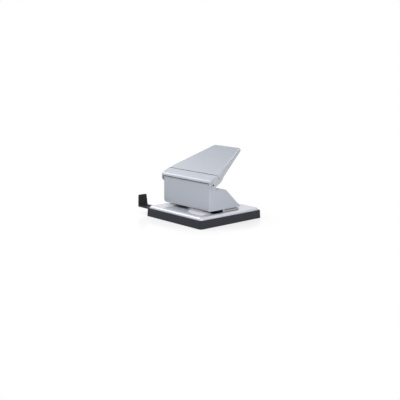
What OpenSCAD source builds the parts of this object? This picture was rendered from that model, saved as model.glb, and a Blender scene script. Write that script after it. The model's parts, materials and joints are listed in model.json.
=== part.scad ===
// Two-hole desk punch with a sheet-metal lever, a chip tray and a sliding paper guide.
// Millimetres. X runs along the front panel, Y to the rear, Z up.
// The origin is the middle of the tray's underside, on the desk.

/* [Base] */
// Width of the chip tray where it stands
base_w = 133; // [125:1:140]
// Depth of the chip tray where it stands
base_d = 133; // [128:1:140]
// Height of the chip tray
tray_h = 12.7; // [12:0.1:18]
// How far each side of the tray leans in towards its rim
tray_draft = 1; // [0.2:0.1:1.5]
// Corner radius of the tray where it stands
tray_corner_r = 5; // [3.5:0.5:8]
// Thickness of the tray's front and side walls at the rim
tray_wall = 3; // [2.6:0.1:4]
// Thickness of the tray's floor
tray_floor = 2; // [1.2:0.1:3]
// Thickness of the base plate, and the radius of its rounded edge
plate_t = 4.3; // [3.8:0.1:6]
// How far the base plate's edge lies inside the tray's rim
plate_inset = 2; // [1.5:0.1:2.4]
// Distance of each tray hinge from the middle
hinge_x = 40; // [25:1:45]
// Radius of the tray hinge barrels
barrel_r = 2; // [1.7:0.1:2.4]
// Diameter of the tray hinge pins
hinge_pin_d = 2; // [1.5:0.1:2.4]

/* [Punching] */
// Distance between the two holes
hole_pitch = 80; // [70:1:82]
// Diameter of the holes
hole_d = 6; // [5:0.1:7]
// Distance of the holes from the paper's edge
hole_margin = 12; // [10:0.5:13]
// Height of the paper slot
slot_h = 5; // [4.5:0.1:6.5]
// Depth of the paper slot behind the front panel
slot_depth = 29.5; // [28:0.5:32]
// Diameter of the punch heads
punch_head_d = 11; // [10:0.5:12]
// Height of the punch heads
punch_head_h = 2.8; // [2.5:0.1:4.5]
// Wire diameter of the punch springs
spring_wire = 1.2; // [0.8:0.1:1.3]
// Mean diameter of the punch springs
spring_d = 9.2; // [8.6:0.1:9.6]
// Turns of each punch spring
spring_turns = 4; // [3:1:4]

/* [Housing] */
// Outer width of the housing
housing_w = 111.2; // [108:0.2:116]
// Distance of the front panel in front of the base's middle
front_reach = 38.5; // [35:0.5:39]
// Thickness of the housing and lever sheet
sheet_t = 1.5; // [1.2:0.1:1.7]
// Thickness of the top cover's sheet
cover_t = 1.2; // [0.8:0.1:1.6]
// Height of the housing's flat top above the base plate
body_h = 35.8; // [33:0.1:37]
// Length of the flat top behind the back stop
top_tail = 4.5; // [4.5:0.1:8]
// Length of the housing behind the back stop
body_tail = 36.5; // [32:0.1:40]
// Outer radius of the two front bends
front_bend_r = 2.5; // [1.8:0.1:3.5]
// Radius of the front panel's lower left corner
panel_corner_r = 8; // [5:0.5:10]
// Thickness of the frame's upright web
web_t = 4; // [3:0.1:4.5]
// Thickness of the frame's upper flange
flange_t = 4; // [3:0.1:5]

/* [Lever] */
// Height of the pivot above the base plate
pivot_h = 46; // [45:0.5:50]
// Distance of the pivot behind the front panel's face
pivot_back = 4.5; // [4:0.1:5]
// Diameter of the pivot axle
pivot_d = 5; // [4:0.1:6]
// Diameter of the press axle
press_d = 6; // [5:0.1:6.2]
// Height of the press axle above the pivot, square to the lever
press_rise = 2.8; // [2:0.1:2.8]
// Slope of the lever at rest
lever_tilt = 24.4; // [20:0.1:27]
// Swing of the lever when it is pressed
lever_swing = 28; // [20:1:28]
// Length of the lever behind the pivot
lever_len = 98.5; // [85:0.5:105]
// Width of the lever at its free end
lever_end_w = 60.4; // [50:0.2:80]
// Height of the lever's top face above the pivot, square to the lever
lever_rise = 8.9; // [8.9:0.1:10]
// Distance of the seam behind the pivot
seam_at = 14.8; // [13:0.1:17]
// Distance behind the pivot where the lever starts to taper
taper_at = 21; // [19:0.5:25]
// Radius of the lever's ears about the pivot
ear_r = 6.6; // [6.5:0.1:8]
// Height of the flange at the lever's free end
end_flange = 4.5; // [3.5:0.1:6]
// Corner radius at the lever's free end
end_corner_r = 5; // [3:0.5:8]
// Outer radius of the rolled nose in front of the lever
nose_r = 5.2; // [4.6:0.1:5.6]

/* [Paper guide] */
// Distance of the end stop from the middle
stop_reach = 91.5; // [86:0.5:100]
// Distance of the end stop from the middle for the longest sheet
stop_reach_max = 148.5; // [130:0.5:150]
// Width of the guide's rail
rail_w = 18.6; // [16:0.2:20]
// Thickness of the guide's rail and end stop
rail_t = 2.2; // [1.6:0.1:2.6]
// Height of the end stop above the rail
stop_h = 17.8; // [12:0.2:22]
// Diameter of the rivets that carry the rail
rivet_d = 4; // [3:0.1:5]

/* [Hidden] */

$fn = 64;

// Colours
silver = [0.76, 0.78, 0.80];
charcoal = [0.20, 0.21, 0.24];
black = [0.07, 0.07, 0.08];
steel = [0.60, 0.61, 0.63];

// Clearances
run_gap = 0.05;    // radial gap of a turning or sliding fit
fixed_gap = 0.02;  // radial gap of a fixed fit
body_gap = 0.3;    // gap between pieces that move past each other
touch_gap = 0.1;   // gap where two moving pieces push on each other
over = 1;          // how far a cutting shape reaches past the piece it cuts

// Base
plate_w = base_w - 2 * (tray_draft + plate_inset);
plate_d = base_d - 2 * (tray_draft + plate_inset);
plate_top = tray_h + plate_t;
cavity_w = base_w - 2 * (tray_draft + tray_wall);
cavity_front = -(base_d / 2 - tray_draft - tray_wall);
cavity_rear = plate_d / 2 + body_gap;
cavity_r = 2.5;
hinge_in = 0.2;
hinge_y = plate_d / 2 - hinge_in;
plate_barrel_len = 10;
tray_barrel_len = 6;
barrel_cut_r = barrel_r + body_gap;

// Paper slot and punches
slot_top = plate_top + slot_h;
front_y = -front_reach;
stop_y = front_y + slot_depth;
punch_y = stop_y - hole_margin;
punch_r = hole_d / 2;
tip_lift = 0.6;
punch_tip_z = slot_top + tip_lift;
tip_hollow_r = 2 * punch_r;
die_half_w = 14;
die_front = 7;
die_to_stop = 1;
die_rear = hole_margin - die_to_stop;
die_ledge = 2;
die_ledge_t = 1.8;
die_relief = 0.8;
die_relief_r = punch_r + die_relief;
die_relief_h = plate_t / 2;

// Housing
inner_half = housing_w / 2 - sheet_t;
panel_back_y = front_y + sheet_t;
body_top = plate_top + body_h;
top_end_y = stop_y + top_tail;
tail_y = stop_y + body_tail;
tail_h = 1;
tail_z = slot_top + tail_h;
lip_d = 2;
pivot_y = front_y + pivot_back;
pivot_z = plate_top + pivot_h;
lug_r = pivot_back - touch_gap;
lug_len = 8;
lug_rear_y = pivot_y + lug_len;
lug_step = 5;
panel_rise = 1.4;

// Frame, guide blocks and bushes
foot_room = 2.6;
foot_t = slot_h - foot_room;
foot_lift = 0.7;
foot_lift_w = 2.5;
foot_setback = 0.4;
foot_end_y = tail_y - foot_setback;
flange_top = body_top - cover_t;
flange_z = flange_top - flange_t;
flange_over = 9;
flange_front_y = punch_y - flange_over;
block_inner_w = 8;
block_outer_w = inner_half - body_gap - hole_pitch / 2;
block_setback = 3;
block_front_y = panel_back_y + lip_d + block_setback;
block_lift = 0.2;
block_z = slot_top + block_lift;
block_h = 12;
stop_over = 0.3;
window_half = hole_pitch / 2 - block_inner_w;
window_z = slot_top + stop_over;
window_top = block_z + block_h;
bush_wall = 2;
bush_r = punch_r + bush_wall;
collar_w = 1.3;
collar_r = bush_r + collar_w;
collar_h = 1;

// Screws, each as [shank radius, head radius, head height]
frame_screw = [2, 4, 2];
small_screw = [1.5, 2.8, 1.8];
frame_screw_edge = 10;
frame_screw_x = inner_half - frame_screw_edge;
frame_screw_from_web = 8;
frame_screw_from_end = 6;
frame_screw_y = [stop_y + web_t + frame_screw_from_web, foot_end_y - frame_screw_from_end];
frame_screw_sink = 0.6;
frame_screw_top = plate_top + foot_t - frame_screw_sink;
block_screw_edge = 3.5;
block_screw_x = [block_screw_edge - block_inner_w, block_outer_w - block_screw_edge];
block_screw_z = block_z + block_h / 2;
block_screw_depth = 8;
cover_screw_x = 14;
cover_screw_back = 6;
cover_screw_y = punch_y + cover_screw_back;
slot_cut = 0.8;

// Lever, in its own frame: u along the lever, w square to it, from the pivot
lever_half = housing_w / 2 + body_gap + sheet_t;
end_half = lever_end_w / 2;
taper = atan((lever_half - end_half) / (lever_len - taper_at));
ear_toe = [16.5, -4.6];
flange_start = [26.5, -0.9];
nose_at = [0.2, lever_rise - nose_r];
nose_edge_angle = 160;
seam_gap = 1;
nose_tongue = 8;
press_u = (punch_y - pivot_y + press_rise * sin(lever_tilt)) / cos(lever_tilt);
press_reach = norm([press_u, press_rise]);
press_angle = atan2(press_rise, press_u) + lever_tilt;
press_r = press_d / 2;
press_shoulder = 1;
press_tenon_r = press_r - press_shoulder;
pivot_r = pivot_d / 2;
pivot_head_over = 1.1;
pivot_head_r = pivot_r + pivot_head_over;
pivot_head_t = 0.8;
pivot_dimple_r = 1.6;
press_dimple_r = 0.9;
dimple_depth = 4;

// Punch lengths follow from the press axle
head_top = pivot_z + press_reach * sin(press_angle) - press_r - touch_gap;
head_z = head_top - punch_head_h;
punch_drop = press_reach * (sin(press_angle) - sin(press_angle - lever_swing));
clip_t = 0.8;
clip_z = flange_z - body_gap - clip_t;
clip_over = 2.2;
clip_r = punch_r + clip_over;
groove_depth = 0.5;
groove_r = punch_r - groove_depth;

// Springs stand on the bush collars
spring_z = body_top + collar_h;
spring_top = head_z - touch_gap;
spring_sides = 6;
curl_rings = 8;

// Paper guide
rail_top = tray_h - body_gap;
rail_z = rail_top - rail_t;
rail_room = 0.8;
rail_front = cavity_front + rail_room;
rail_y = rail_front + rail_w / 2;
rivet_r = rivet_d / 2;
rivet_edge = 7.5;
rivet_pitch = 20;
rivet_x = [rivet_edge - plate_w / 2, rivet_edge + rivet_pitch - plate_w / 2];
rivet_head_over = 2;
rivet_head_r = rivet_r + rivet_head_over;
rivet_head_t = 1.5;
rivet_depth = 2.5;
washer_over = 1;
washer_r = rivet_head_r + washer_over;
washer_t = 0.8;
washer_z = rail_z - body_gap - washer_t;

// The rail's slot is as long as its travel, which ends at the tray's left wall or inside its right wall
slot_half = rivet_r + body_gap;
travel_out = stop_reach_max - stop_reach;
slot_end = rivet_x[1] + travel_out + slot_half;
rail_end_web = 6.6;
rail_end = slot_end + rail_end_web;
rail_end_room = 4;
travel_in = min(stop_reach - base_w / 2 - body_gap, cavity_w / 2 - rail_end_room - rail_end);
rail_slot = [rivet_x[0] - travel_in - slot_half, slot_end];
stop_lean_front = 0.4;
stop_lean_rear = 2.7;
stop_corner_r = 1.5;

echo(str("punch travel for the full swing: ", punch_drop, " mm"));
echo(str("pivot at y ", pivot_y, ", z ", pivot_z, "; tray hinge at y ", hinge_y, ", z ", tray_h));
echo(str("guide travel in ", travel_in, ", out ", travel_out));

// Shared shapes

function unit(v) = v / norm(v);

// Points of a rounded corner at p between its neighbours a and b
function fillet(a, p, b, r, steps = 8) =
    let (
        u = unit(a - p),
        v = unit(b - p),
        half = acos(u * v) / 2,
        c = p + unit(u + v) * r / sin(half),
        s = p + u * r / tan(half) - c,
        e = p + v * r / tan(half) - c,
        from = atan2(s.y, s.x),
        turn = atan2(e.y, e.x) - from,
        sweep = turn > 180 ? turn - 360 : turn < -180 ? turn + 360 : turn
    )
    [for (i = [0:steps]) c + r * [cos(from + sweep * i / steps), sin(from + sweep * i / steps)]];

function arc(r, from, to, steps = 10) =
    [for (i = [0:steps]) r * [cos(from + (to - from) * i / steps), sin(from + (to - from) * i / steps)]];

// Block w by d by h whose edge profile, x = 0 to r outwards and y up, is the child
module edged_slab(w, d, h, r) {
    translate([r - w / 2, r - d / 2, 0]) cube([w - 2 * r, d - 2 * r, h]);
    for (a = [0:90:270]) rotate(a) {
        along = a % 180 == 0 ? d - 2 * r : w - 2 * r;
        out = a % 180 == 0 ? w / 2 - r : d / 2 - r;
        translate([out, 0, 0]) rotate([90, 0, 0]) linear_extrude(along, center = true) children();
        translate([out, along / 2, 0]) rotate_extrude(angle = 90) children();
    }
}

// Shape drawn in (y, z), made w wide along X about the middle
module across(w) {
    rotate([90, 0, 90]) linear_extrude(w, center = true) children();
}

// Round bar along X from x0 to x1
module bar_x(r, x0, x1) {
    translate([x0, 0, 0]) rotate([0, 90, 0]) cylinder(h = x1 - x0, r = r);
}

module at_hinges() {
    for (s = [-1, 1]) translate([s * hinge_x, hinge_y, tray_h]) children();
}

module at_tray_barrels() {
    at_hinges() for (s = [0, 180]) rotate([0, 0, s])
        translate([plate_barrel_len / 2 + body_gap, 0, 0]) children();
}

module at_punches() {
    for (s = [-1, 1]) at_punch(s) children();
}

module at_punch(side) {
    translate([side * hole_pitch / 2, punch_y, 0]) children();
}

module in_lever() {
    translate([0, pivot_y, pivot_z]) rotate([lever_tilt, 0, 0]) children();
}

// Screw with its head's seat at the origin and its shank along -Z
module slotted_screw(size, length) {
    translate([0, 0, -length]) cylinder(h = length, r = size[0]);
    difference() {
        cylinder(h = size[2], r = size[1]);
        translate([-size[1] - over, -slot_cut / 2, size[2] - slot_cut])
            cube([2 * (size[1] + over), slot_cut, slot_cut + over]);
    }
}

// Chip tray and its hinge

module chip_tray() {
    color(charcoal) difference() {
        union() {
            difference() {
                edged_slab(base_w, base_d, tray_h, tray_corner_r) polygon([
                    [0, 0], [tray_corner_r, 0], [tray_corner_r - tray_draft, tray_h], [0, tray_h]
                ]);
                tray_cavity();
                guide_notch();
            }
            at_tray_barrels() bar_x(barrel_r, 0, tray_barrel_len);
        }
        at_hinges() bar_x(hinge_pin_d / 2 + fixed_gap, -over - barrel_span(), over + barrel_span());
        at_hinges() bar_x(barrel_cut_r, -plate_barrel_len / 2 - body_gap, plate_barrel_len / 2 + body_gap);
    }
}

function barrel_span() = plate_barrel_len / 2 + body_gap + tray_barrel_len;

module tray_cavity() {
    depth = cavity_rear - cavity_front;
    translate([0, (cavity_rear + cavity_front) / 2, tray_floor])
        edged_slab(cavity_w, depth, tray_h, cavity_r) square([cavity_r, tray_h]);
}

// The rail leaves the tray through an open notch in the left wall
module guide_notch() {
    gap = body_gap + touch_gap;
    translate([-base_w / 2 - over, rail_front - gap, rail_z - gap])
        cube([base_w / 2 - cavity_w / 2 + 2 * over, rail_w + 2 * gap, tray_h]);
}

module tray_hinge_pins() {
    color(steel) at_hinges() bar_x(hinge_pin_d / 2, -barrel_span(), barrel_span());
}

// Base plate and dies

module base_plate() {
    color(silver) difference() {
        union() {
            difference() {
                translate([0, 0, tray_h]) edged_slab(plate_w, plate_d, plate_t, plate_t)
                    intersection() {
                        circle(plate_t);
                        square(plate_t);
                    }
                at_tray_barrels() bar_x(barrel_cut_r, -body_gap, tray_barrel_len + body_gap);
            }
            at_hinges() bar_x(barrel_r, -plate_barrel_len / 2, plate_barrel_len / 2);
        }
        at_hinges() bar_x(hinge_pin_d / 2 + run_gap, -plate_barrel_len, plate_barrel_len);
        at_punches() die_shape(touch_gap, over);
        at_frame_screws() frame_screw_hole();
        for (x = rivet_x) translate([x, rail_y, tray_h - over])
            cylinder(h = rivet_depth + over, r = rivet_r + fixed_gap);
    }
}

// Stepped die outline, grown by gap on its sides and by reach past the plate's faces
module die_shape(gap, reach) {
    depth = die_front + die_rear;
    translate([-die_half_w - gap, -die_front - gap, tray_h - reach])
        cube([2 * (die_half_w + gap), depth + 2 * gap, plate_t + 2 * reach]);
    translate([-die_half_w - die_ledge - gap, -die_front - die_ledge - gap, tray_h - reach])
        cube([2 * (die_half_w + die_ledge + gap), depth + 2 * (die_ledge + gap), die_ledge_t + gap + reach]);
}

module die_insert(side) {
    color(black) at_punch(side) difference() {
        die_shape(0, 0);
        translate([0, 0, tray_h - over]) cylinder(h = plate_t + 2 * over, r = punch_r + run_gap);
        translate([0, 0, tray_h - over]) cylinder(h = die_relief_h + over, r = die_relief_r);
    }
}

module die_insert_left() { die_insert(-1); }
module die_insert_right() { die_insert(1); }

// Frame that carries the punches

module punch_frame() {
    color(black) difference() {
        across(2 * inner_half) polygon([
            [stop_y, plate_top], [foot_end_y, plate_top],
            [foot_end_y, plate_top + foot_t], [stop_y + web_t, plate_top + foot_t],
            [stop_y + web_t, flange_top], [flange_front_y, flange_top],
            [flange_front_y, flange_z], [stop_y, flange_z]
        ]);
        at_punches() translate([0, 0, flange_z - over])
            cylinder(h = flange_t + 2 * over, r = bush_r + fixed_gap);
        at_frame_screws() translate([0, 0, tray_h])
            cylinder(h = frame_screw_top - tray_h + fixed_gap, r = frame_screw[0] + fixed_gap);
        at_block_screws() translate([0, 0, -web_t - over])
            cylinder(h = web_t + 2 * over, r = small_screw[0] + fixed_gap);
        at_cover_screws() translate([0, 0, -cover_t - flange_t - over])
            cylinder(h = flange_t + cover_t + over, r = small_screw[0] + fixed_gap);
        frame_window();
        foot_relief();
    }
}

// Step under the foot's two side edges, which stand clear of the base plate
module foot_relief() {
    for (s = [-1, 1]) translate([s * inner_half - foot_lift_w, stop_y - over, plate_top - over])
        cube([2 * foot_lift_w, foot_end_y - stop_y + 2 * over, foot_lift + over]);
}

// Opening in the web between the guide blocks, above the paper stop
module frame_window() {
    translate([-window_half, stop_y - over, window_z])
        cube([2 * window_half, web_t + 2 * over, window_top - window_z]);
}

module at_frame_screws() {
    for (s = [-1, 1], y = frame_screw_y) translate([s * frame_screw_x, y, 0]) children();
}

module frame_screw_hole() {
    translate([0, 0, tray_h - over]) cylinder(h = plate_t + 2 * over, r = frame_screw[0] + fixed_gap);
    translate([0, 0, tray_h]) cylinder(h = frame_screw[2], r1 = frame_screw[1] + fixed_gap,
                                       r2 = frame_screw[0] + fixed_gap);
}

module frame_screws() {
    color(steel) at_frame_screws() translate([0, 0, tray_h]) {
        cylinder(h = frame_screw_top - tray_h, r = frame_screw[0]);
        cylinder(h = frame_screw[2], r1 = frame_screw[1], r2 = frame_screw[0]);
    }
}

module guide_block(side) {
    left_w = side > 0 ? block_inner_w : block_outer_w;
    color(black) difference() {
        at_punch(side) translate([-left_w, block_front_y - punch_y, block_z])
            cube([block_inner_w + block_outer_w, stop_y - block_front_y, block_h]);
        at_punch(side) translate([0, 0, block_z - over])
            cylinder(h = block_h + 2 * over, r = punch_r + run_gap);
        at_block_screws() translate([0, 0, -web_t - block_screw_depth - fixed_gap])
            cylinder(h = block_screw_depth + web_t, r = small_screw[0] + fixed_gap);
    }
}

module guide_block_left() { guide_block(-1); }
module guide_block_right() { guide_block(1); }

// Places of the block screws' heads behind the web, with the shank towards the front
module at_block_screws() {
    for (s = [-1, 1], x = block_screw_x)
        translate([s * (hole_pitch / 2 + x), stop_y + web_t, block_screw_z]) rotate([-90, 0, 0]) children();
}

module block_screws() {
    color(steel) at_block_screws() slotted_screw(small_screw, web_t + block_screw_depth);
}

// Housing and top cover

module housing() {
    color(silver) difference() {
        union() {
            intersection() {
                housing_wall();
                across(housing_w) housing_side();
            }
            housing_lip();
        }
        panel_corner_cut();
        panel_top_cut();
        translate([0, pivot_y, pivot_z]) bar_x(pivot_r + fixed_gap, -housing_w, housing_w);
    }
}

// Front panel and two sides in one bent wall, as tall as the lugs
module housing_wall() {
    height = pivot_z + lug_r - slot_top;
    depth = tail_y - front_y;
    inner_r = front_bend_r - sheet_t;
    translate([0, 0, slot_top]) linear_extrude(height) difference() {
        bent_front(housing_w, front_y, depth, front_bend_r);
        bent_front(2 * inner_half, panel_back_y, depth, inner_r);
    }
}

// Rectangle w wide from y0 back, with round front corners
module bent_front(w, y0, depth, r) {
    translate([-w / 2, y0 + r]) square([w, depth - r]);
    translate([r - w / 2, y0]) square([w - 2 * r, depth]);
    for (s = [-1, 1]) translate([s * (w / 2 - r), y0 + r]) circle(r);
}

// Outline of a side: wedge behind, lug round the pivot in front
module housing_side() {
    polygon([
        [front_y, slot_top], [tail_y, slot_top], [tail_y, tail_z], [top_end_y, body_top],
        [lug_rear_y, body_top], [lug_rear_y, body_top + lug_step],
        [pivot_y + lug_r, pivot_z], [front_y, pivot_z]
    ]);
    translate([pivot_y, pivot_z]) circle(lug_r);
}

module housing_lip() {
    left = panel_corner_r - housing_w / 2;
    translate([left, panel_back_y, slot_top]) cube([inner_half - left, lip_d, sheet_t]);
}

// Room above the panel, between the lugs, for the rolled nose of the lever
module panel_top_cut() {
    translate([-inner_half, front_y - over, pivot_z + panel_rise])
        cube([2 * inner_half, sheet_t + 2 * over, lug_r]);
}

module panel_corner_cut() {
    translate([-housing_w / 2, front_y + front_bend_r, slot_top]) rotate([90, 0, 0])
        linear_extrude(front_bend_r + over) difference() {
            translate([-over, -over]) square(panel_corner_r + over);
            translate([panel_corner_r, panel_corner_r]) circle(panel_corner_r);
        }
}

module top_cover() {
    color(silver) difference() {
        translate([-inner_half, panel_back_y, flange_top])
            cube([2 * inner_half, top_end_y - panel_back_y, cover_t]);
        at_punches() translate([0, 0, flange_top - over])
            cylinder(h = cover_t + 2 * over, r = bush_r + fixed_gap);
        at_cover_screws() translate([0, 0, -cover_t - over])
            cylinder(h = cover_t + 2 * over, r = small_screw[0] + fixed_gap);
    }
}

module at_cover_screws() {
    for (s = [-1, 1]) translate([s * cover_screw_x, cover_screw_y, body_top]) children();
}

module cover_screws() {
    color(steel) at_cover_screws() slotted_screw(small_screw, cover_t + flange_t);
}

// Lever group

module pivot_axle() {
    head_in = lever_half + body_gap;
    end = head_in + pivot_head_t;
    color(black) translate([0, pivot_y, pivot_z]) difference() {
        union() {
            bar_x(pivot_r, -end, end);
            bar_x(pivot_head_r, head_in, end);
            bar_x(pivot_head_r, -end, -head_in);
        }
        axle_dimples(pivot_dimple_r, end);
    }
}

// Drilled hollows in both ends of an axle that runs from -end to end
module axle_dimples(r, end) {
    for (s = [0, 180]) rotate([0, 0, s]) bar_x(r, end - dimple_depth, end + over);
}

module lever() {
    color(silver) in_lever() difference() {
        intersection() {
            translate([0, 0, -2 * ear_r]) linear_extrude(2 * ear_r + lever_rise)
                lever_plan(lever_half, taper_at, lever_len, end_half, end_corner_r);
            across(2 * lever_half) lever_side();
        }
        lever_hollow();
        bar_x(pivot_r + run_gap, -lever_half - over, lever_half + over);
        translate([0, press_u, press_rise])
            bar_x(press_tenon_r + fixed_gap, -lever_half - over, lever_half + over);
    }
}

// Outline of the lever from above, with half-widths at the front and at the free end
module lever_plan(half, bend_u, end_u, half_at_end, r) {
    front = [half, -2 * ear_r];
    bend = [half, bend_u];
    end = [half_at_end, end_u];
    mirrored = [-half_at_end, end_u];
    right = concat([front, bend], fillet(bend, end, mirrored, r));
    polygon(concat(right, [for (i = [len(right) - 1:-1:0]) [-right[i].x, right[i].y]]));
}

// Space under the top sheet, open in front of the seam
module lever_hollow() {
    end_u = lever_len - sheet_t;
    half_at_end = end_half + sheet_t * tan(taper) - sheet_t / cos(taper);
    inner = lever_half - sheet_t;
    translate([0, 0, -3 * ear_r]) linear_extrude(3 * ear_r + lever_rise - sheet_t)
        lever_plan(inner, taper_at - sheet_t * tan(taper / 2), end_u, half_at_end, end_corner_r - sheet_t);
    translate([-inner, seam_at - 4 * ear_r, -3 * ear_r]) cube([2 * inner, 4 * ear_r, 6 * ear_r]);
}

// Outline of an ear and flange from the side
module lever_side() {
    reach = norm(nose_at);
    meet = acos((reach ^ 2 + ear_r ^ 2 - nose_r ^ 2) / (2 * reach * ear_r));
    front_top = atan2(nose_at.y, nose_at.x) + meet;
    front_low = 360 + atan2(ear_toe.y, ear_toe.x) - acos(ear_r / norm(ear_toe));
    polygon(concat(
        nose_arc(nose_r, 90, nose_edge_angle),
        arc(ear_r, front_top, front_low, 28),
        [
            ear_toe, flange_start, [lever_len, lever_rise - end_flange],
            [lever_len, lever_rise]
        ]
    ));
}

// Points of an arc about the middle of the nose's roll
function nose_arc(r, from, to) = [for (p = arc(r, from, to)) nose_at + p];

// Strip in front of the seam, rolled down over the pivot, with a tongue under the top sheet
module nose_cover() {
    inner_r = nose_r - sheet_t;
    seam_u = seam_at - seam_gap;
    step_u = seam_u - sheet_t;
    tongue_end = seam_at + nose_tongue;
    tongue_top = lever_rise - sheet_t;
    color(silver) in_lever() across(2 * (lever_half - sheet_t)) polygon(concat(
        nose_arc(nose_r, nose_edge_angle, 90),
        [
            [seam_u, lever_rise], [seam_u, tongue_top],
            [tongue_end, tongue_top], [tongue_end, tongue_top - sheet_t],
            [step_u, tongue_top - sheet_t], [step_u, tongue_top]
        ],
        nose_arc(inner_r, 90, nose_edge_angle)
    ));
}

module press_axle() {
    shoulder = lever_half - sheet_t;
    end = lever_half + body_gap;
    color(steel) in_lever() translate([0, press_u, press_rise]) difference() {
        union() {
            bar_x(press_r, -shoulder, shoulder);
            bar_x(press_tenon_r, -end, end);
        }
        axle_dimples(press_dimple_r, end);
    }
}

// Punches, springs and their guides

module punch(side) {
    color(steel) at_punch(side) difference() {
        union() {
            translate([0, 0, punch_tip_z]) cylinder(h = head_top - punch_tip_z, r = punch_r);
            translate([0, 0, head_z]) cylinder(h = punch_head_h, r = punch_head_d / 2);
        }
        // hollow-ground tip
        translate([0, 0, punch_tip_z - tip_hollow_r + punch_r / 4]) rotate([90, 0, 0])
            cylinder(h = 4 * punch_r, r = tip_hollow_r, center = true);
        translate([0, 0, clip_z]) difference() {
            cylinder(h = clip_t, r = punch_r + over);
            translate([0, 0, -over]) cylinder(h = clip_t + 2 * over, r = groove_r);
        }
    }
}

module punch_left() { punch(-1); }
module punch_right() { punch(1); }

module punch_clips() {
    color(steel) at_punches() translate([0, 0, clip_z + fixed_gap]) difference() {
        cylinder(h = clip_t - 2 * fixed_gap, r = clip_r);
        translate([0, 0, -over]) cylinder(h = clip_t + 2 * over, r = groove_r + fixed_gap);
        translate([0, -groove_r, -over]) cube([clip_r + over, 2 * groove_r, clip_t + 2 * over]);
    }
}

module punch_bushes() {
    color(steel) at_punches() difference() {
        union() {
            translate([0, 0, flange_z]) cylinder(h = body_top - flange_z, r = bush_r);
            translate([0, 0, body_top]) cylinder(h = collar_h, r = collar_r);
        }
        translate([0, 0, flange_z - over])
            cylinder(h = body_top - flange_z + collar_h + 2 * over, r = punch_r + run_gap);
    }
}

spring_path = let (
        r = spring_d / 2,
        low = spring_z + spring_wire,
        high = spring_top - spring_wire,
        steps = curl_rings * spring_turns
    )
    concat(
        [[r, 0, spring_z]],
        [
            for (i = [0:steps])
                let (a = 360 * i / curl_rings)
                [r * cos(a), r * sin(a), low + (high - low) * i / steps]
        ],
        [[r, 0, spring_top]]
    );

function path_tangent(path, i) =
    i == 0 || i == len(path) - 1 ? [0, 0, 1] : unit(path[i + 1] - path[i - 1]);

function ring(path, i, wire) =
    let (
        t = path_tangent(path, i),
        radial = unit([path[i].x, path[i].y, 0]),
        e = unit(radial - (radial * t) * t),
        b = cross(t, e)
    )
    [
        for (k = [0:spring_sides - 1])
            let (a = 360 * k / spring_sides)
            path[i] + wire / 2 * (cos(a) * e + sin(a) * b)
    ];

spring_gap = min([
    for (i = [0:len(spring_path) - 1], j = [i + curl_rings / 2 + 1:1:len(spring_path) - 1])
        norm(spring_path[i] - spring_path[j])
]) - spring_wire;
echo(str("least gap of a spring to itself: ", spring_gap, " mm"));

module spring(side) {
    n = spring_sides;
    last = len(spring_path) - 1;
    points = [for (i = [0:last]) each ring(spring_path, i, spring_wire)];
    walls = [
        for (i = [0:last - 1], k = [0:n - 1])
            let (a = i * n + k, b = i * n + (k + 1) % n)
            each [[a, a + n, b], [b, a + n, b + n]]
    ];
    caps = [for (k = [1:n - 2]) each [[0, k, k + 1], [last * n, last * n + k + 1, last * n + k]]];
    color(steel) at_punch(side) polyhedron(points, concat(walls, caps));
}

module punch_spring_left() { spring(-1); }
module punch_spring_right() { spring(1); }

// Paper guide

module paper_guide() {
    color(black) {
        difference() {
            translate([-stop_reach, rail_front, rail_z]) cube([stop_reach + rail_end, rail_w, rail_t]);
            translate([0, rail_y, rail_z - over]) linear_extrude(rail_t + 2 * over) rail_slot_outline();
        }
        translate([-stop_reach - rail_t / 2, 0, 0]) across(rail_t) end_stop();
    }
}

module rail_slot_outline() {
    ends = [rail_slot[0] + slot_half, rail_slot[1] - slot_half];
    translate([ends[0], -slot_half]) square([ends[1] - ends[0], 2 * slot_half]);
    for (x = ends) translate([x, 0]) circle(slot_half);
}

module end_stop() {
    rear = rail_front + rail_w;
    top = rail_top + stop_h;
    low_front = [rail_front, rail_z];
    high_front = [rail_front + stop_lean_front, top];
    high_rear = [rear - stop_lean_rear, top];
    low_rear = [rear, rail_z];
    polygon(concat(
        [low_front],
        fillet(low_front, high_front, high_rear, stop_corner_r),
        fillet(high_front, high_rear, low_rear, stop_corner_r),
        [low_rear]
    ));
}

module guide_rivets() {
    color(steel) for (x = rivet_x) translate([x, rail_y, washer_z - rivet_head_t]) {
        cylinder(h = tray_h + rivet_depth - washer_z + rivet_head_t, r = rivet_r);
        cylinder(h = rivet_head_t, r = rivet_head_r);
    }
}

module guide_washers() {
    color(steel) for (x = rivet_x) translate([x, rail_y, washer_z]) difference() {
        cylinder(h = washer_t, r = washer_r);
        translate([0, 0, -over]) cylinder(h = washer_t + 2 * over, r = rivet_r + fixed_gap);
    }
}

chip_tray();
tray_hinge_pins();
base_plate();
die_insert_left();
die_insert_right();
punch_frame();
frame_screws();
guide_block_left();
guide_block_right();
block_screws();
housing();
top_cover();
cover_screws();
pivot_axle();
lever();
nose_cover();
press_axle();
punch_left();
punch_right();
punch_clips();
punch_bushes();
punch_spring_left();
punch_spring_right();
paper_guide();
guide_rivets();
guide_washers();
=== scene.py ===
"""Two-hole punch: finishes, rounded sheet metal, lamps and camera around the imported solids."""
import json
import math

import bmesh
import bpy
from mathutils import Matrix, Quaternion, Vector

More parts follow.
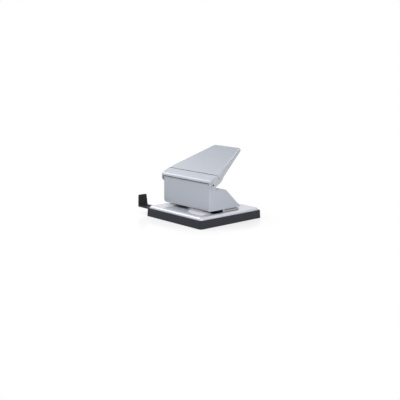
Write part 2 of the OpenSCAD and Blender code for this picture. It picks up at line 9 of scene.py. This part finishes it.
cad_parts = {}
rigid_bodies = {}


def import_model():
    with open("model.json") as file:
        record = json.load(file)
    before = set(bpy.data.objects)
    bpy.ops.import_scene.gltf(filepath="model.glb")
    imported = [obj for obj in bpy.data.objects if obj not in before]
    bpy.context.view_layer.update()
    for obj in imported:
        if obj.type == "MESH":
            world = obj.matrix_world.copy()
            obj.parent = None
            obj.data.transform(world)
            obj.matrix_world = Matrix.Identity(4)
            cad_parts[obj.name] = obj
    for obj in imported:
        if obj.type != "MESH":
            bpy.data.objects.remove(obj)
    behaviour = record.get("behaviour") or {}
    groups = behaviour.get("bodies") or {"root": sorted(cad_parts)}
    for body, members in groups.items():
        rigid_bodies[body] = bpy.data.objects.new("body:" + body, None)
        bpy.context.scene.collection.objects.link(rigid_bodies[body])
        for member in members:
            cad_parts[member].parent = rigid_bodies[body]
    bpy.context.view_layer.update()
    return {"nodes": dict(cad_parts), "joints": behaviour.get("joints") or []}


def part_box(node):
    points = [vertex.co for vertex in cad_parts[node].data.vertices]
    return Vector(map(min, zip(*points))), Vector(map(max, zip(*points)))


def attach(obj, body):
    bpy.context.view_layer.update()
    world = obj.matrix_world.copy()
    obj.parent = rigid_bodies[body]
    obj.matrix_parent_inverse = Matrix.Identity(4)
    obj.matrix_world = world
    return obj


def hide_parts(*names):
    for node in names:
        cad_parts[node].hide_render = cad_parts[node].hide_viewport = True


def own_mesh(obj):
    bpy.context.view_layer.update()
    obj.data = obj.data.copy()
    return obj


for leftover in list(bpy.data.objects):
    bpy.data.objects.remove(leftover)

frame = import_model()

MM = 0.001


def joint(name):
    return next(j for j in frame["joints"] if j["name"] == name)


# Lever, with its own directions along the sheet and square to it
LEVER_TILT = math.radians(24.4)
LEVER_ALONG = Vector((0, math.cos(LEVER_TILT), math.sin(LEVER_TILT)))
LEVER_UP = Vector((0, -math.sin(LEVER_TILT), math.cos(LEVER_TILT)))
PIVOT = Vector(joint("lever_press")["pos_m"])
LEVER_RISE = 8.9 * MM
SEAM_AT = 14.8 * MM
SEAM_GAP = 1.0 * MM
SEAM_RIM_R = 0.1 * MM

# Sheet metal
SHEET = 1.5 * MM
LEVER_FOLD_R = 2.6 * MM
# The folds start this far behind the seam, where the ears no longer stand alone
FOLD_SETBACK = 0.3 * MM
PANEL_HEM_R = 3.3 * MM
NOSE_RIM_R = 0.03 * MM
LEVER_RIM_R = 0.3 * MM
PANEL_RIM_R = 0.3 * MM

# Facets across each rounding
RIM_STEPS = 2
INNER_FOLD_STEPS = 4
OUTER_FOLD_STEPS = 6
HEM_STEPS = 6

# Distance from the middle beyond which the pieces painted near-black for shade are bare steel
AXLE_BARE_FROM = 57.6 * MM
FRAME_BARE_FROM = 54.0 * MM
BARE_BLEND = 0.05 * MM

# Springs
SPRING_TURNS = 4
SPRING_WIRE = 1.2 * MM
SPRING_RINGS = 28
SPRING_SIDES = 12
END_CLOSING = 0.55

# Mesh clean-up
WELD = 1e-6
SAME_PLACE = 10 * WELD
FLAT = math.radians(0.4)
SQUARE_ON = 0.999
SEAM_TOP = 0.9
SMOOTH_BELOW = math.radians(38)

# Camera, fitted to the photograph
CAMERA_EYE = Vector((0.85465, -0.7811, 0.25456))
CAMERA_AZIMUTH = math.radians(47.875)
CAMERA_ELEVATION = math.radians(11.097)
CAMERA_ROLL = math.radians(0.34)
CAMERA_LENS = 65.6
CAMERA_SENSOR = 36.0


# Materials

class Finish:
    """A material's node tree, with short ways to add textures to its shader."""

    def __init__(self, name):
        self.material = bpy.data.materials.new(name)
        self.material.use_nodes = True
        self.nodes = self.material.node_tree.nodes
        self.links = self.material.node_tree.links
        self.shader = self.nodes["Principled BSDF"]

    def set(self, **values):
        for name, value in values.items():
            self.shader.inputs[name.replace("_", " ")].default_value = value

    def node(self, kind, **values):
        made = self.nodes.new(kind)
        for name, value in values.items():
            made.inputs[name.replace("_", " ")].default_value = value
        return made

    def place(self, stretch=(1, 1, 1)):
        """Coordinates that stay with the piece, in metres, scaled along each axis."""
        where = self.nodes.new("ShaderNodeTexCoord")
        mapping = self.node("ShaderNodeMapping", Scale=stretch)
        self.links.new(where.outputs["Object"], mapping.inputs["Vector"])
        return mapping.outputs["Vector"]

    def noise(self, per_metre, detail, stretch=(1, 1, 1)):
        made = self.node("ShaderNodeTexNoise", Scale=per_metre, Detail=detail)
        self.links.new(self.place(stretch), made.inputs["Vector"])
        return made.outputs["Fac"]

    def between(self, value, low, high):
        """The 0 to 1 value spread over low to high."""
        made = self.node("ShaderNodeMapRange", To_Min=low, To_Max=high)
        self.links.new(value, made.inputs["Value"])
        return made.outputs["Result"]

    def colours(self, value, dark, light, start=0.3, end=0.7):
        ramp = self.nodes.new("ShaderNodeValToRGB")
        ramp.color_ramp.elements[0].position = start
        ramp.color_ramp.elements[0].color = (*dark, 1)
        ramp.color_ramp.elements[1].position = end
        ramp.color_ramp.elements[1].color = (*light, 1)
        self.links.new(value, ramp.inputs["Fac"])
        self.links.new(ramp.outputs["Color"], self.shader.inputs["Base Color"])

    def roughness(self, value, low, high):
        self.links.new(self.between(value, low, high), self.shader.inputs["Roughness"])

    def bump(self, value, height, strength):
        made = self.node("ShaderNodeBump", Strength=strength, Distance=height)
        self.links.new(value, made.inputs["Height"])
        self.links.new(made.outputs["Normal"], self.shader.inputs["Normal"])


def silver_paint():
    """Satin silver lacquer: fine metal flake under a thin clear coat."""
    finish = Finish("silver_paint")
    finish.colours(finish.noise(per_metre=2600, detail=1.0),
                   dark=(0.383, 0.411, 0.464), light=(0.415, 0.441, 0.496))
    finish.roughness(finish.noise(per_metre=60, detail=3.0), low=0.34, high=0.40)
    finish.bump(finish.noise(per_metre=420, detail=2.0), height=0.004 * MM, strength=0.25)
    finish.set(Metallic=0.3, Coat_Weight=0.1, Coat_Roughness=0.2)
    return finish.material


def plate_paint_lightened():
    """The silver on the base plate, painted lighter than silver_paint's base colour as painted
    light on the same paint, with a glossier coat.
    """
    finish = Finish("plate_paint_lightened")
    # Painted light: base colour lighter than the silver paint's
    finish.colours(finish.noise(per_metre=2600, detail=1.0),
                   dark=(0.55, 0.57, 0.63), light=(0.58, 0.60, 0.66))
    finish.roughness(finish.noise(per_metre=60, detail=3.0), low=0.28, high=0.33)
    finish.bump(finish.noise(per_metre=420, detail=2.0), height=0.002 * MM, strength=0.15)
    finish.set(Metallic=0.2, Specular_IOR_Level=0.15, Coat_Weight=0.7, Coat_Roughness=0.05)
    return finish.material


def charcoal_plastic():
    """Moulded tray plastic with a fine spark-eroded grain."""
    finish = Finish("charcoal_plastic")
    finish.colours(finish.noise(per_metre=90, detail=3.0),
                   dark=(0.0205, 0.0225, 0.030), light=(0.0255, 0.0275, 0.0355))
    grain = finish.noise(per_metre=2400, detail=3.0)
    finish.roughness(grain, low=0.46, high=0.60)
    finish.bump(grain, height=0.02 * MM, strength=0.35)
    finish.set(Specular_IOR_Level=0.2)
    return finish.material


def black_plastic():
    finish = Finish("black_plastic")
    finish.colours(finish.noise(per_metre=120, detail=3.0),
                   dark=(0.015, 0.015, 0.017), light=(0.020, 0.020, 0.022))
    grain = finish.noise(per_metre=2400, detail=3.0)
    finish.roughness(grain, low=0.42, high=0.56)
    finish.bump(grain, height=0.02 * MM, strength=0.35)
    finish.set(Specular_IOR_Level=0.3)
    return finish.material


def turned_steel():
    finish = Finish("turned_steel")
    finish.colours(finish.noise(per_metre=400, detail=2.0),
                   dark=(0.48, 0.49, 0.50), light=(0.56, 0.57, 0.58))
    lines = finish.noise(per_metre=900, detail=3.0, stretch=(0.15, 1, 1))
    finish.roughness(lines, low=0.24, high=0.38)
    finish.bump(lines, height=0.008 * MM, strength=0.25)
    finish.set(Metallic=1.0)
    return finish.material


def black_steel():
    finish = Finish("black_steel")
    cloud = finish.noise(per_metre=300, detail=4.0)
    finish.colours(cloud,
                   dark=(0.010, 0.010, 0.012), light=(0.018, 0.018, 0.021))
    finish.roughness(cloud, low=0.34, high=0.46)
    finish.bump(finish.noise(per_metre=1200, detail=2.0), height=0.006 * MM, strength=0.25)
    finish.set(Metallic=0.3)
    return finish.material


def painted_shade_steel(name, bare_from):
    """Steel painted near-black as shade in the axle head's hollow, inside the housing and in the
    gaps around the frame's foot, with bright bare ends further from the middle than bare_from.
    """
    finish = Finish(name)
    split = finish.nodes.new("ShaderNodeSeparateXYZ")
    finish.links.new(finish.place(), split.inputs["Vector"])
    reach = finish.nodes.new("ShaderNodeMath")
    reach.operation = "ABSOLUTE"
    finish.links.new(split.outputs["X"], reach.inputs[0])
    ends = finish.node("ShaderNodeMapRange", From_Min=bare_from, From_Max=bare_from + BARE_BLEND)
    finish.links.new(reach.outputs["Value"], ends.inputs["Value"])
    # Painted shade: near-black nearer the middle, bright bare steel at the ends
    finish.colours(ends.outputs["Result"],
                   dark=(0.014, 0.014, 0.016), light=(0.44, 0.45, 0.46), start=0, end=1)
    lines = finish.noise(per_metre=900, detail=3.0, stretch=(1, 0.15, 1))
    finish.roughness(lines, low=0.34, high=0.48)
    finish.bump(lines, height=0.008 * MM, strength=0.25)
    finish.set(Metallic=0.5)
    return finish.material


FINISH = {
    "silver_paint": silver_paint(),
    "plate_paint_lightened": plate_paint_lightened(),
    "charcoal_plastic": charcoal_plastic(),
    "black_plastic": black_plastic(),
    "steel": turned_steel(),
    "black_steel": black_steel(),
    "axle_steel_painted_shade": painted_shade_steel("axle_steel_painted_shade", AXLE_BARE_FROM),
    "frame_steel_painted_shade": painted_shade_steel("frame_steel_painted_shade", FRAME_BARE_FROM),
}


# Meshes

def welded(node):
    """Closed copy of a CAD node's mesh, with its flat faces whole."""
    mesh = bmesh.new()
    mesh.from_mesh(frame["nodes"][node].data)
    bmesh.ops.remove_doubles(mesh, verts=mesh.verts, dist=WELD)
    bmesh.ops.dissolve_limit(mesh, angle_limit=FLAT, verts=mesh.verts, edges=mesh.edges)
    mesh.normal_update()
    return mesh


def round_edges(mesh, wanted, radius, segments):
    """Rounds the edges that wanted(edge) picks."""
    edges = [e for e in mesh.edges if len(e.link_faces) == 2 and wanted(e)]
    bmesh.ops.bevel(mesh, geom=edges, offset=radius, offset_type="OFFSET", segments=segments,
                    profile=0.5, affect="EDGES", clamp_overlap=False, loop_slide=True)
    mesh.normal_update()


def between_faces(first, second):
    """Edge test: one side's face passes first, the other's passes second."""
    def wanted(edge):
        a, b = edge.link_faces
        return (first(a) and second(b)) or (first(b) and second(a))
    return wanted


def faces_along(direction):
    return lambda face: face.normal.dot(direction) > SQUARE_ON


def soften(obj, radius):
    """Smooth shading with small rounded rims, which keeps flat faces flat."""
    weld = obj.modifiers.new("weld", "WELD")
    weld.merge_threshold = WELD
    rim = obj.modifiers.new("rims", "BEVEL")
    rim.limit_method = "ANGLE"
    rim.angle_limit = SMOOTH_BELOW
    rim.width = radius
    rim.segments = RIM_STEPS
    rim.use_clamp_overlap = True
    rim.harden_normals = False
    obj.modifiers.new("flat_faces", "WEIGHTED_NORMAL").keep_sharp = True


def piece(mesh, name, body, node, slot, rim):
    """Makes an object of a bmesh that stands for a CAD node and moves with a body."""
    data = bpy.data.meshes.new(name)
    mesh.to_mesh(data)
    mesh.free()
    data.polygons.foreach_set("use_smooth", [True] * len(data.polygons))
    data.materials.append(FINISH[slot])
    # Second slot: near-black steel, used for the painted shade inside the lever's seam
    data.materials.append(FINISH["black_steel"])
    obj = bpy.data.objects.new(name, data)
    bpy.context.scene.collection.objects.link(obj)
    if rim:
        soften(obj, rim)
    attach(obj, body)
    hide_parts(node)
    return obj


# Sheet-metal pieces

def lever_height(vert):
    return (vert.co - PIVOT).dot(LEVER_UP)


def lever_reach(vert):
    return (vert.co - PIVOT).dot(LEVER_ALONG)


def paint_seam_shade(mesh):
    """Painted shade: near-black steel colour on the faces inside the joint between the lever's two
    sheets, standing in for the shadow in the gap, with a crisp rim.
    """
    first = SEAM_AT - SEAM_GAP - SEAM_RIM_R - WELD
    last = SEAM_AT + SEAM_RIM_R + WELD
    underside = LEVER_RISE - SHEET - WELD

    def in_seam(vert):
        return first < lever_reach(vert) < last and lever_height(vert) > underside

    def inside(face):
        return all(in_seam(v) for v in face.verts)

    def topside(face):
        return not inside(face) and face.normal.dot(LEVER_UP) > SEAM_TOP

    rim = between_faces(inside, topside)
    round_edges(mesh, lambda edge: edge.is_convex and rim(edge), SEAM_RIM_R, RIM_STEPS)
    # Painted shade: the faces inside the seam take the near-black second slot
    for face in mesh.faces:
        face.material_index = int(inside(face))


def cut_across(mesh, reach):
    """Splits the lever's faces along a plane square to it."""
    everything = mesh.verts[:] + mesh.edges[:] + mesh.faces[:]
    bmesh.ops.bisect_plane(mesh, geom=everything, dist=WELD,
                           plane_co=PIVOT + reach * LEVER_ALONG, plane_no=LEVER_ALONG)
    mesh.normal_update()


def lever_shell():
    """The lever with its side and end flanges folded round a radius, from behind the seam on."""
    mesh = welded("lever")
    cut_across(mesh, SEAM_AT)
    paint_seam_shade(mesh)
    start = SEAM_AT + FOLD_SETBACK
    cut_across(mesh, start)

    def folded(height, facing):
        flat = faces_along(facing)
        side = between_faces(flat, lambda face: not flat(face) and face.material_index == 0)

        def folds(vert):
            level = abs(lever_height(vert) - height) < SAME_PLACE
            return level and lever_reach(vert) > start - SAME_PLACE
        return lambda edge: side(edge) and all(folds(v) for v in edge.verts)

    inner = folded(LEVER_RISE - SHEET, -LEVER_UP)
    round_edges(mesh, inner, LEVER_FOLD_R - SHEET, INNER_FOLD_STEPS)
    outer = folded(LEVER_RISE, LEVER_UP)
    round_edges(mesh, outer, LEVER_FOLD_R, OUTER_FOLD_STEPS)
    piece(mesh, "lever_shell", "lever", "lever", "silver_paint", LEVER_RIM_R)


def nose_strip():
    """The strip in front of the seam, with rims fine enough to clear the seam's own."""
    mesh = welded("nose_cover")
    paint_seam_shade(mesh)
    piece(mesh, "nose_strip", "lever", "nose_cover", "silver_paint", NOSE_RIM_R)


def housing_shell():
    """The housing, its front panel turned under in a soft hem along the lower edge."""
    mesh = welded("housing")
    front = faces_along(Vector((0, -1, 0)))
    under = faces_along(Vector((0, 0, -1)))
    round_edges(mesh, between_faces(front, under), PANEL_HEM_R, HEM_STEPS)
    piece(mesh, "housing_shell", "machine", "housing", "silver_paint", PANEL_RIM_R)


# Springs

def spring_coil(side):
    """Round wire wound between the bush collar and the punch head."""
    node = f"punch_spring_{side}"
    low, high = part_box(node)
    middle = (Vector(low) + Vector(high)) / 2
    radius = (high[1] - low[1] - SPRING_WIRE) / 2
    bottom = low[2] + SPRING_WIRE / 2
    rise = high[2] - low[2] - SPRING_WIRE
    steps = SPRING_TURNS * SPRING_RINGS

    def centre(i):
        share = i / steps
        angle = 2 * math.pi * SPRING_TURNS * share
        # closed ends: the climb starts and stops gently
        climb = share - math.sin(2 * math.pi * share) / (2 * math.pi) * END_CLOSING
        across = radius * Vector((math.cos(angle), math.sin(angle), 0))
        return Vector((middle.x, middle.y, bottom + rise * climb)) + across

    mesh = bmesh.new()
    rings = []
    for i in range(steps + 1):
        here = centre(i)
        tangent = (centre(min(i + 1, steps)) - centre(max(i - 1, 0))).normalized()
        outward = Vector((here.x - middle.x, here.y - middle.y, 0)).normalized()
        upward = tangent.cross(outward)
        rings.append([
            mesh.verts.new(here + SPRING_WIRE / 2 * (math.cos(a) * outward + math.sin(a) * upward))
            for a in (2 * math.pi * k / SPRING_SIDES for k in range(SPRING_SIDES))
        ])
    for lower, upper in zip(rings, rings[1:]):
        for k in range(SPRING_SIDES):
            after = (k + 1) % SPRING_SIDES
            mesh.faces.new((lower[k], lower[after], upper[after], upper[k]))
    mesh.faces.new(list(reversed(rings[0])))
    mesh.faces.new(rings[-1])
    bmesh.ops.recalc_face_normals(mesh, faces=mesh.faces)
    obj = piece(mesh, f"spring_coil_{side}", "machine", node, "steel", rim=0)
    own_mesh(obj)


lever_shell()
nose_strip()
housing_shell()
for side in ("left", "right"):
    spring_coil(side)

# CAD solids that show as they are: finish and rim radius of each
SHOWN = {
    "chip_tray": ("charcoal_plastic", 0.5 * MM),
    "tray_hinge_pins": ("steel", 0.15 * MM),
    "base_plate": ("plate_paint_lightened", 0.2 * MM),
    # The die inserts' near-black also stands in for the deep shade in the paper slot: partly
    # painted shade
    "die_insert_left": ("black_steel", 0.15 * MM),
    "die_insert_right": ("black_steel", 0.15 * MM),
    "punch_frame": ("frame_steel_painted_shade", 0.08 * MM),
    "frame_screws": ("steel", 0.15 * MM),
    # The guide blocks' near-black also stands in for the deep shade in the paper slot: partly
    # painted shade
    "guide_block_left": ("black_plastic", 0.3 * MM),
    "guide_block_right": ("black_plastic", 0.3 * MM),
    "block_screws": ("steel", 0.15 * MM),
    "top_cover": ("silver_paint", 0.2 * MM),
    "cover_screws": ("steel", 0.15 * MM),
    "pivot_axle": ("axle_steel_painted_shade", 0.2 * MM),
    "press_axle": ("steel", 0.2 * MM),
    "punch_left": ("steel", 0.2 * MM),
    "punch_right": ("steel", 0.2 * MM),
    "punch_clips": ("black_steel", 0.1 * MM),
    "punch_bushes": ("steel", 0.15 * MM),
    "paper_guide": ("black_plastic", 0.35 * MM),
    "guide_rivets": ("steel", 0.15 * MM),
    "guide_washers": ("steel", 0.1 * MM),
}
for node, (finish, rim) in SHOWN.items():
    obj = frame["nodes"][node]
    obj.data.materials.clear()
    obj.data.materials.append(FINISH[finish])
    soften(obj, rim)


# Floor, world, lamps and camera

FLOOR_HALF = 3.0
FLOOR_DROP = 0.05 * MM
FADE_START = 0.07
FADE_END = 0.15
SHADOW_SHARE = 0.4
AMBIENT = 0.3
SKY_WHITE_TO = math.radians(22)
SKY_DIM_FROM = math.radians(36)
OVERHEAD = 0.4

# Soft boxes, aimed at the punch: direction seen from it (degrees from the front towards
# the right, and up), distance, size and watts
LAMP_AIM = Vector((0, 0, 0.05))
LAMPS = {
    "front": (24, 34, 0.5, 0.25, 0.74),
    "right": (72, 32, 0.5, 0.25, 1.36),
    "left": (281, 39, 0.5, 0.5, 0.98),
    "back": (190, 55, 0.6, 0.4, 0.85),
    "roll": (292, 37, 0.5, 0.15, 0.36),
}


def background_rays(nodes, links):
    """1 for the rays that show the background: the camera's, and those off metal and glass."""
    path = nodes.new("ShaderNodeLightPath")
    shown = path.outputs["Is Camera Ray"]
    for ray in ("Is Glossy Ray", "Is Transmission Ray"):
        either = nodes.new("ShaderNodeMath")
        either.operation = "MAXIMUM"
        links.new(shown, either.inputs[0])
        links.new(path.outputs[ray], either.inputs[1])
        shown = either.outputs["Value"]
    return shown


def floor():
    """Pale floor that keeps the shadow near the punch and fades to white for the camera."""
    mesh = bmesh.new()
    bmesh.ops.create_grid(mesh, x_segments=2, y_segments=2, size=FLOOR_HALF)
    data = bpy.data.meshes.new("floor")
    mesh.to_mesh(data)
    mesh.free()
    obj = bpy.data.objects.new("floor", data)
    obj.location.z = -FLOOR_DROP
    bpy.context.scene.collection.objects.link(obj)
    finish = Finish("floor")
    finish.set(Base_Color=(0.93, 0.93, 0.935, 1), Roughness=0.12, Specular_IOR_Level=0.5)
    nodes, links = finish.nodes, finish.links
    where = nodes.new("ShaderNodeTexCoord")
    distance = nodes.new("ShaderNodeVectorMath")
    distance.operation = "LENGTH"
    links.new(where.outputs["Object"], distance.inputs[0])
    fade = finish.node("ShaderNodeMapRange", From_Min=FADE_START, From_Max=FADE_END,
                       To_Min=1 - SHADOW_SHARE)
    fade.interpolation_type = "SMOOTHSTEP"
    links.new(distance.outputs["Value"], fade.inputs["Value"])
    seen = nodes.new("ShaderNodeMath")
    seen.operation = "MULTIPLY"
    links.new(fade.outputs["Result"], seen.inputs[0])
    links.new(background_rays(nodes, links), seen.inputs[1])
    white = finish.node("ShaderNodeEmission", Strength=1.0)
    mix = nodes.new("ShaderNodeMixShader")
    links.new(seen.outputs["Value"], mix.inputs["Fac"])
    links.new(finish.shader.outputs["BSDF"], mix.inputs[1])
    links.new(white.outputs["Emission"], mix.inputs[2])
    links.new(mix.outputs["Shader"], nodes["Material Output"].inputs["Surface"])
    data.materials.append(finish.material)


def world():
    """White near the horizon, dimmer overhead in reflections, and a grey as ambient light."""
    made = bpy.data.worlds.new("studio")
    made.use_nodes = True
    bpy.context.scene.world = made
    nodes, links = made.node_tree.nodes, made.node_tree.links
    background = nodes["Background"]
    where = nodes.new("ShaderNodeTexCoord")
    split = nodes.new("ShaderNodeSeparateXYZ")
    links.new(where.outputs["Generated"], split.inputs["Vector"])
    sky = nodes.new("ShaderNodeMapRange")
    sky.inputs["From Min"].default_value = math.sin(SKY_WHITE_TO)
    sky.inputs["From Max"].default_value = math.sin(SKY_DIM_FROM)
    sky.inputs["To Min"].default_value = 1.0
    sky.inputs["To Max"].default_value = OVERHEAD
    links.new(split.outputs["Z"], sky.inputs["Value"])
    strength = nodes.new("ShaderNodeMapRange")
    strength.inputs["To Min"].default_value = AMBIENT
    links.new(sky.outputs["Result"], strength.inputs["To Max"])
    links.new(background_rays(nodes, links), strength.inputs["Value"])
    links.new(strength.outputs["Result"], background.inputs["Strength"])
    background.inputs["Color"].default_value = (1, 1, 1, 1)


def direction(azimuth, elevation):
    """Unit vector from the punch, azimuth from the front towards the right."""
    level = math.cos(elevation)
    return Vector((math.sin(azimuth) * level, -math.cos(azimuth) * level, math.sin(elevation)))


def lamp(name, azimuth, elevation, distance, size, watts):
    light = bpy.data.lights.new(name, "AREA")
    light.size = size
    light.energy = watts
    obj = bpy.data.objects.new(name, light)
    towards = direction(math.radians(azimuth), math.radians(elevation))
    obj.location = LAMP_AIM + distance * towards
    obj.rotation_mode = "QUATERNION"
    obj.rotation_quaternion = (-towards).to_track_quat("-Z", "Y")
    obj.visible_camera = False
    bpy.context.scene.collection.objects.link(obj)


def camera():
    data = bpy.data.cameras.new("camera")
    data.lens = CAMERA_LENS
    data.sensor_width = CAMERA_SENSOR
    obj = bpy.data.objects.new("camera", data)
    back = direction(CAMERA_AZIMUTH, CAMERA_ELEVATION)
    obj.location = CAMERA_EYE
    obj.rotation_mode = "QUATERNION"
    obj.rotation_quaternion = (-back).to_track_quat("-Z", "Y") @ Quaternion((0, 0, 1), CAMERA_ROLL)
    bpy.context.scene.collection.objects.link(obj)
    bpy.context.scene.camera = obj


floor()
world()
for name, values in LAMPS.items():
    lamp(name, *values)
camera()
bpy.context.scene.view_settings.view_transform = "Standard"
